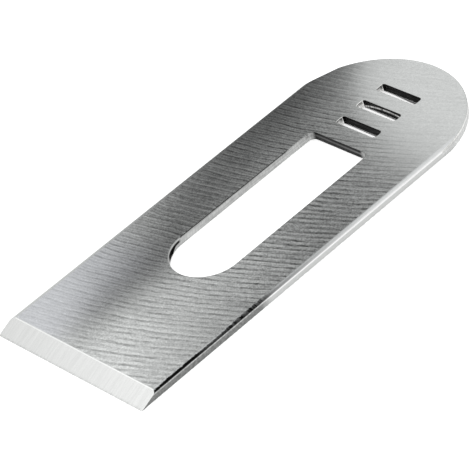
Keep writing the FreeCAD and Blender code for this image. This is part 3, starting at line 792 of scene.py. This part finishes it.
def punched_metal(name):
    """Sheared steel: fine lines from top to bottom, bright along the iron and painted nearly black across it
    as painted shade, which gives the eye the depth of the slots. Painted highlights make the cross slots'
    ends near white and a band under the head's rim lighter. The lines are 0.3 mm apart, coarser than a punch
    leaves them."""
    material, add = new_material(name)
    place, x, y, z = place_in_mm(add)
    facing = add("SeparateXYZ", add("NewGeometry").outputs["Normal"]).outputs
    curve = add("Math.ABSOLUTE", facing[1])
    inner = add("Math.LESS_THAN", rim_reach(add, x, y), HALF - 1.5)
    past_slot = add("MapRange", y, SLOT_END + 0.3, SLOT_END + 1, **SOFT)

    # Painted shade: walls across the iron, and a crescent on the round end, are painted nearly black.
    dark = add("Math.MULTIPLY", painted_wall_shade(add, y, z, curve), inner)
    dark = add("Math.MULTIPLY", dark, add("Math.SUBTRACT", 1.0, dragged_streak(add, x, y, z)))
    edge_tint = add("Math.MULTIPLY", add("Math.MULTIPLY", dark, past_slot), 0.27)
    off_corner = add("Math.ABSOLUTE", add("Math.SUBTRACT", x, -0.6))
    off_corner = add("MapRange", off_corner, 6.2, 7.1, 1.0, 0.25, **SOFT)
    at_end = add("Math.COMPARE", y, SLOT_END, SLOT_CORNER)
    dark = add("Math.MULTIPLY", dark, add("Mix", at_end, 1.0, off_corner))
    round_end = add("Math.LESS_THAN", y, SLOT_ROUND_Y)
    crescent = painted_shade_crescent(add, z, curve)
    dark = add("Mix", round_end, dark, crescent)
    edge_tint = add("Math.MULTIPLY_ADD", add("Math.MULTIPLY", crescent, round_end), 0.5, edge_tint)
    edge_tint = add("Math.SUBTRACT", 1.0, edge_tint, use_clamp=True)

    lines = add("TexNoise", add("VectorMath.MULTIPLY", place, (3.0, 3.0, 0.6)), 1.0, 3.0)
    shade = add("Math.MULTIPLY", add("MapRange", lines, 0.3, 0.7, 0.84, 1.08, **SOFT),
                add("MapRange", z, 0.2, 1.4, 1.08, 0.96, **SOFT))
    dragged = add("TexNoise", add("VectorMath.MULTIPLY", place, (0.16, 0.16, 3.2)), 1.0, 2.0, 0.6)
    shade = add("Math.MULTIPLY", shade, add("MapRange", dragged, 0.35, 0.65, 0.84, 1.12, **SOFT))
    # Painted highlight: a lighter band just under the head's rim.
    rim_highlight = soft_span(add, z, (THICK - 0.55, THICK - 0.3), (THICK - 0.1, THICK - 0.03))
    outer = add("Mix", rim_highlight, linear("#c3c4c3"), linear("#e0e0de"), data_type="RGBA")
    # Painted highlight: past the long slot's square end, in the cross slots, the walls are painted near
    # white.
    wall_tone_and_highlight = add("Mix", past_slot, linear("#b6b7b6"), linear("#f0f0ee"), data_type="RGBA")
    bright = add("Mix", inner, outer, wall_tone_and_highlight, data_type="RGBA")
    burnish = burnished_marks(add, x, y, z, dragged)
    # Painted shade: nearly black, with the punch's lighter marks.
    shaded_black_and_burnish = add("Mix", burnish, linear("#070707"), linear("#7a7a7a"), data_type="RGBA")
    colour = add("VectorMath.SCALE", add("Mix", dark, bright, shaded_black_and_burnish, data_type="RGBA"), shade)
    look = {"Base Color": colour, "Roughness": 0.3, "Specular Tint": edge_tint}
    bare_metal(add, look, lines, 0.003 * MM)
    return material


punched_steel = punched_metal("punched_wall_steel")
for material in (face_steel, bevel_steel, rolled_steel, punched_steel, ground_face("ground_back_steel")):
    iron_mesh.materials.append(material)
print("materials:", [m.name for m in iron_mesh.materials])

# %% [markdown]
# ## The floor
#
# The iron lies on white paper. Paper in a studio is as bright as the light around it, so the floor glows a
# little to the camera and in the steel, and still takes the iron's own soft shadow. Seen through the cross
# slots, the paper is darkest at the foot of the far wall, where almost no light reaches it. That narrow
# shadow is painted on the floor, because the stage's light is too even to cast it.

# %% White paper
def foot_shadow(add, is_camera):
    """How dark the paper is close to the foot of each cross slot's far wall, as the camera sees it. WRAP
    repeats one slot's distance from its far wall at the pitch of the slots."""
    _, x, y, _ = place_in_mm(add)
    from_wall = add("Math.WRAP", add("Math.SUBTRACT", LAST_CROSS_Y + CROSS_WIDTH / 2, y), 0.0, CROSS_PITCH)
    slide = add("Math.MULTIPLY", add("MapRange", x, -4.0, 4.0, -0.06, 0.3, **SOFT),
                add("MapRange", y, CROSS_YS[1], CROSS_YS[2], 0.3, 1.0, **SOFT))
    foot = add("MapRange", add("Math.SUBTRACT", from_wall, slide), 0.1, 0.32, 0.88, 0.0, **SOFT)
    foot = add("Math.MULTIPLY", foot, add("Math.COMPARE", x, 0.0, CROSS_HALF))
    foot = add("Math.MULTIPLY", foot, add("Math.COMPARE", y, CROSS_YS[1], CROSS_PITCH + CROSS_WIDTH))
    return add("Math.MULTIPLY", foot, is_camera)


def white_floor():
    """White paper, which gives the eye a clean edge all round the steel."""
    material, add = new_material("white_paper")
    path = add("LightPath").outputs
    is_camera, is_glossy = path["Is Camera Ray"], path["Is Glossy Ray"]
    paper = add("BsdfDiffuse", linear("#f4f4f4"))
    glow = add("Emission", inputs={"Strength": add("Math.MULTIPLY_ADD", is_camera, 0.15, 0.35)})
    seen = add("Math.MAXIMUM", is_camera, is_glossy)
    bright = add("MixShader", seen, paper, add("AddShader", paper, glow))
    shadow = add("BsdfDiffuse", linear("#101010"))
    add("OutputMaterial", add("MixShader", foot_shadow(add, is_camera), bright, shadow))
    return material


def level_sheet(name, half, height, material, faces_up=True):
    """A level square sheet, in metres, that faces up or down."""
    corners = [(x * half, y * half, 0) for x, y in ((-1, -1), (1, -1), (1, 1), (-1, 1))]
    mesh = bpy.data.meshes.new(name)
    mesh.from_pydata(corners if faces_up else corners[::-1], [], [(0, 1, 2, 3)])
    mesh.materials.append(material)
    sheet = bpy.data.objects.new(name, mesh)
    sheet.location.z = height
    bpy.context.scene.collection.objects.link(sheet)
    return sheet


FLOOR_HALF = 4
UNDER_IRON = 0.00003
floor = level_sheet("floor", FLOOR_HALF, lowest.z - UNDER_IRON, white_floor())
print("floor of %d m, %.2f mm under the iron" % (2 * FLOOR_HALF, UNDER_IRON / MM))

# %% [markdown]
# ## The light
#
# Steel has no colour of its own. It shows what is around it, so a photographer lights it with large pale
# cards and keeps some gaps between them: a card makes a light part of the steel and a gap makes a dark
# part. The room is plain white, and one card hangs over the iron, which the camera can't see. Small lamps
# would have given spots with hard rims instead.

# %% The white room
world = bpy.data.worlds.new("studio")
world.use_nodes = True
world.node_tree.nodes.clear()
sky = add_node(world.node_tree, "Background", linear("#ffffff"), 1.0)
add_node(world.node_tree, "OutputWorld", sky)
bpy.context.scene.world = world
print("room of", sky.inputs["Color"].default_value[:3])

# %% [markdown]
# ## Where the steel shows the card
#
# A flat face is a mirror, though a rough one. The line of sight goes down to the steel and up again to
# the card, so each point of the card belongs to one point of the face. The card's pattern is laid out in
# the face's own millimetres, which makes it easy to say where a light or a gap has to be.

# %% From the card to the face
CARD_HEIGHT = 0.045
CARD_HALF = 0.6
FOLD = 25.0


def steel_seen(add):
    """The place of the face that shows each point of the card, as x and as y from the cutting edge. A point
    Q of the card is seen at P = (Q + k C) / (1 + k), with C the camera and k the card's height over the
    camera's, both from the face. Further than FOLD in front of the edge, y is folded back."""
    rise = (CARD_HEIGHT - highest.z) / (CAMERA_PLACE[2] - highest.z)
    shift = (rise * CAMERA_PLACE[0], rise * CAMERA_PLACE[1], 0)
    moved = add("VectorMath.ADD", add("TexCoord").outputs["Object"], shift)
    x, y, _ = add("SeparateXYZ", add("VectorMath.SCALE", moved, 1 / MM / (1 + rise))).outputs
    folded = add("Math.ABSOLUTE", add("Math.ADD", y, FOLD - EDGE_Y))
    return x, add("Math.SUBTRACT", folded, FOLD)


print("card %.0f mm over the face" % ((CARD_HEIGHT - highest.z) / MM))

# %% [markdown]
# ## Pools of light
#
# Each pool is a patch with a soft rim, one for each light part that the steel shows: in the head, on the
# left and the right half in front, on the legs, and on the steep right edge. They leave a dark gap between
# them, which crosses the legs.

# %% Pools and seam
def head_pool(add, x, y):
    """The light in the head: part of a wide circle, with a firm rim inside a soft one."""
    middle = add("CombineXYZ", 36.0, add("Math.MULTIPLY_ADD", x, 0.22, 133.2))
    from_head = add("VectorMath.DISTANCE", add("CombineXYZ", x, y), middle)
    return add("Math.ADD", add("MapRange", from_head, 57.0, 63.0, 0.55, 0.0, **SOFT),
               add("MapRange", from_head, 49.0, 72.0, 0.45, 0.0, **SOFT))


def left_pools(add, x, y):
    """The light on the left half in front, which ends on a slant, and a faint one along the left edge."""
    slant = add("Math.MULTIPLY_ADD", add("Math.MAXIMUM", x, -20.0), 1.807, y)
    slant = add("Math.MULTIPLY_ADD", add("Math.MINIMUM", add("Math.ADD", x, 20.0), 0.0), 0.45, slant)
    front = add("Math.MULTIPLY", add("MapRange", slant, -25.5, 25.5, 1.0, 0.0, **SOFT),
                add("MapRange", x, -21.0, -15.0, 0.88, 1.0, **SOFT))
    span = soft_span(add, y, (36.0, 46.0), (60.0, 76.0))
    return front, add("Math.MULTIPLY", add("MapRange", x, -20.0, -14.0, 0.1, 0.0, **SOFT), span)


def right_pools(add, x, y):
    """The light on the right half in front, which falls off towards the head and the right edge, then a
    faint one beyond the long slot's left side, towards the head."""
    falling = add("Math.MULTIPLY_ADD", x, -0.008, add("Math.MULTIPLY_ADD", y, -0.0165, 1.15))
    falling = add("Math.MULTIPLY_ADD", add("MapRange", y, 26.0, 36.0, **SOFT),
                  add("MapRange", y, 58.0, 68.0, 0.06, 0.0, **SOFT), falling)
    past = add("Math.MAXIMUM", add("Math.SUBTRACT", x, 9.0), 0.0)
    falling = add("Math.MULTIPLY_ADD", past, add("MapRange", y, 28.0, 44.0, -0.018, -0.01, **SOFT), falling)
    least = add("Math.MULTIPLY", add("MapRange", y, 46.0, 64.0, 0.22, 0.05, **SOFT),
                add("MapRange", x, 14.0, 20.0, 1.0, 0.0, **SOFT))
    falling = add("Math.MAXIMUM", add("Math.MINIMUM", falling, 1.0), least)
    front = add("Math.MULTIPLY", add("MapRange", x, -6.5, 0.5, **SOFT), falling)
    rear = add("Math.MULTIPLY", add("MapRange", x, -18.0, -7.0, 0.0, 0.22, **SOFT),
               add("MapRange", y, 50.0, 66.0, **SOFT))
    return front, rear


def edge_pools(add, x, y):
    """What the steep right edge mirrors, from further out on the card: two lights that only it shows."""
    slope = soft_span(add, x, (28.0, 32.0), (38.0, 44.0), 0.7)
    weaker = soft_span(add, y, (48.0, 58.0), (70.0, 78.0), 0.4)
    slope = add("Math.MULTIPLY", slope, add("Math.SUBTRACT", 1.0, weaker))
    return slope, add("Math.MULTIPLY", add("MapRange", y, 18.0, 60.0, **SOFT),
                      add("MapRange", x, 30.0, 40.0, **SOFT))


def dark_seam(add, x, y):
    """The gap between two cards, which draws a dark line up the front, 6 mm left of its middle."""
    off_seam = add("Math.ABSOLUTE", add("Math.ADD", x, add("MapRange", y, 12.0, 26.0, 6.0, 5.5, **SOFT)))
    depth = add("Math.MULTIPLY", add("MapRange", y, 2.0, 14.0, **SOFT),
                add("MapRange", y, 10.0, 24.0, 0.82, 1.0, **SOFT))
    seam = add("Math.MULTIPLY", add("MapRange", off_seam, 0.0, 4.1, 1.0, 0.0, **SOFT), depth)
    return add("Math.MULTIPLY", seam, add("MapRange", y, 30.0, 46.0, 1.0, 0.0, **SOFT))


print("seven pools, and a seam in front")

# %% [markdown]
# ## The card
#
# The card is a real sheet of the scene with a glow as its material. Only reflections meet it: it throws no
# shadow, and it doesn't light the paper.

# %% The card over the iron
FULL_LIGHT = 1.04


def card_light(name):
    """The card's glow: light everywhere but for the gap that the pools leave between them, with the seam in
    front, an even light far to the right, and a bright strip that the bevel mirrors."""
    material, add = new_material(name)
    x, y = steel_seen(add)
    gap = 1.0
    pools = [head_pool(add, x, y), *left_pools(add, x, y), *right_pools(add, x, y), *edge_pools(add, x, y)]
    for pool in pools:
        gap = add("Math.MULTIPLY", gap, add("Math.SUBTRACT", 1.0, pool))
    gap_level = add("MapRange", y, 47.0, 77.0, 0.2 - FULL_LIGHT, 0.12 - FULL_LIGHT, **SOFT)
    radiance = add("Math.MULTIPLY_ADD", gap, gap_level, FULL_LIGHT)
    radiance = add("Math.MULTIPLY", radiance, add("Math.SUBTRACT", 1.0, dark_seam(add, x, y)))
    far_level = add("MapRange", y, 10.0, 45.0, 0.8, 1.28, **SOFT)
    radiance = add("Mix", add("MapRange", x, 80.0, 130.0, **SOFT), radiance, far_level)
    strip = add("Math.MULTIPLY", add("MapRange", y, -16.0, -2.0, 1.0, 0.0, **SOFT),
                add("MapRange", add("Math.ABSOLUTE", x), 50.0, 90.0, 1.0, 0.0, **SOFT))
    radiance = add("Mix", strip, radiance, add("Math.MULTIPLY_ADD", x, 0.006, 1.3))
    add("OutputMaterial", add("Emission", linear("#ffffff"), radiance))
    return material


card = level_sheet("card", CARD_HALF, CARD_HEIGHT, card_light("card_glow"), faces_up=False)
card.visible_camera = card.visible_diffuse = card.visible_shadow = False
card.visible_transmission = card.visible_volume_scatter = False
bpy.context.scene.view_settings.view_transform = "Standard"
print("card of %.1f m that only reflections meet" % (2 * CARD_HALF))
